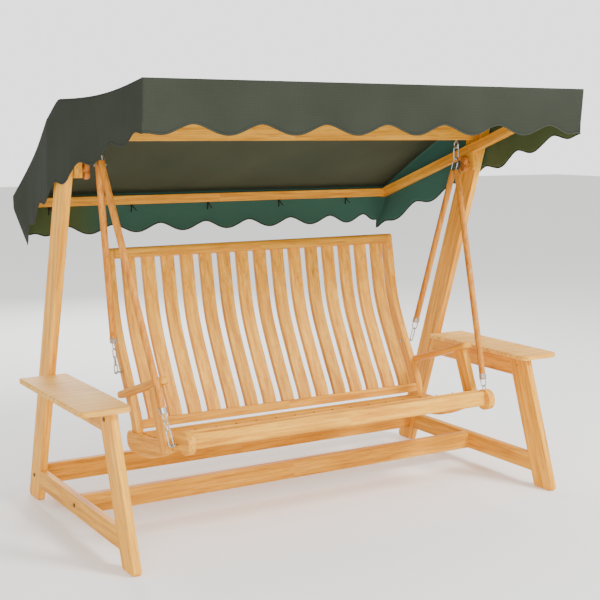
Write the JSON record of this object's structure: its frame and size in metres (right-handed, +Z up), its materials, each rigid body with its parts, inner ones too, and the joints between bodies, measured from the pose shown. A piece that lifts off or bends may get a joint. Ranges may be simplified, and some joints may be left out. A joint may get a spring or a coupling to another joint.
{
  "type": "porch swing",
  "caption": "Wooden porch swing: slatted bench with armrests hung on rods from a braced A-frame stand with side tables, under a fabric canopy with scalloped valances.",
  "frame": {"origin": "on the floor under the middle of the whole object's box", "axes": "+Z up, +X along the bench towards the right-hand side table as seen from the front, front towards -Y"},
  "size_m": [2.472, 1.534, 1.903],
  "materials": {
    "frame_wood": "oiled, satin",
    "rod_wood": "oiled, satin",
    "canopy_cloth": "woven, matt",
    "tie_tape": "woven tape",
    "zinc_steel": "zinc plated",
    "dark_bolts": "blackened"
  },
  "bodies": {
    "stand": {"left_post": "frame_wood", "right_post": "frame_wood", "left_front_leg": "frame_wood", "right_front_leg": "frame_wood", "left_lower_rail": "frame_wood", "right_lower_rail": "frame_wood", "left_upper_rail": "frame_wood", "right_upper_rail": "frame_wood", "left_side_table": "frame_wood", "right_side_table": "frame_wood", "left_rafter": "frame_wood", "right_rafter": "frame_wood", "rear_stretcher": "frame_wood", "front_stretcher": "frame_wood", "main_beam": "frame_wood", "rear_roof_rail": "frame_wood", "front_roof_rail": "frame_wood", "rafter_rest_blocks": "frame_wood", "frame_bolts": "dark_bolts", "knob_bolts": "dark_bolts", "beam_eye_bolts": "zinc_steel", "canopy_roof_front": "canopy_cloth", "canopy_roof_rear": "canopy_cloth", "canopy_valance_front": "canopy_cloth", "canopy_valance_rear": "canopy_cloth", "canopy_valance_left": "canopy_cloth", "canopy_valance_right": "canopy_cloth", "canopy_ties": "tie_tape"},
    "swing_seat": {"left_seat_side": "frame_wood", "right_seat_side": "frame_wood", "left_back_stile": "frame_wood", "right_back_stile": "frame_wood", "left_armrest": "frame_wood", "right_armrest": "frame_wood", "left_arm_post": "frame_wood", "right_arm_post": "frame_wood", "left_front_rod": "rod_wood", "right_front_rod": "rod_wood", "left_rear_rod": "rod_wood", "right_rear_rod": "rod_wood", "seat_front_beam": "frame_wood", "seat_rear_bearer": "frame_wood", "seat_centre_bearer": "frame_wood", "seat_cleats": "frame_wood", "seat_slats": "frame_wood", "back_top_rail": "frame_wood", "back_lower_rail": "frame_wood", "back_slats": "frame_wood", "rod_forks": "zinc_steel", "right_top_hook": "zinc_steel", "left_front_hook": "zinc_steel", "hanger_links": "zinc_steel", "seat_eye_bolts": "zinc_steel"},
    "left_knob": {"left_wing_knob": "frame_wood"},
    "right_knob": {"right_wing_knob": "frame_wood"},
    "top_gate": {"right_top_hook_gate": "zinc_steel"},
    "seat_gate": {"left_front_hook_gate": "zinc_steel"}
  },
  "joints": [
    {"name": "swing", "type": "hinge", "parent": "stand", "child": "swing_seat", "pos_m": [0, -0.017, 1.64], "axis": [1, 0, 0], "range_deg": [-20, 20]},
    {"name": "left_knob_turn", "type": "hinge", "parent": "stand", "child": "left_knob", "pos_m": [-1.003, -0.019, 1.549], "axis": [1, 0, 0], "range_deg": [-180, 180]},
    {"name": "right_knob_turn", "type": "hinge", "parent": "stand", "child": "right_knob", "pos_m": [1.003, -0.019, 1.549], "axis": [1, 0, 0], "range_deg": [-180, 180]},
    {"name": "top_gate_turn", "type": "hinge", "parent": "swing_seat", "child": "top_gate", "pos_m": [0.9645, -0.017, 1.5964], "axis": [0, -1, 0], "range_deg": [0, 20], "stiffness_Nm_per_rad": 0.02, "springref_deg": -8.59},
    {"name": "seat_gate_turn", "type": "hinge", "parent": "swing_seat", "child": "seat_gate", "pos_m": [-0.84068, -0.43537, 0.458], "axis": [0, 0.9434, -0.3317], "range_deg": [0, 20], "stiffness_Nm_per_rad": 0.02, "springref_deg": -8.59}
  ]
}
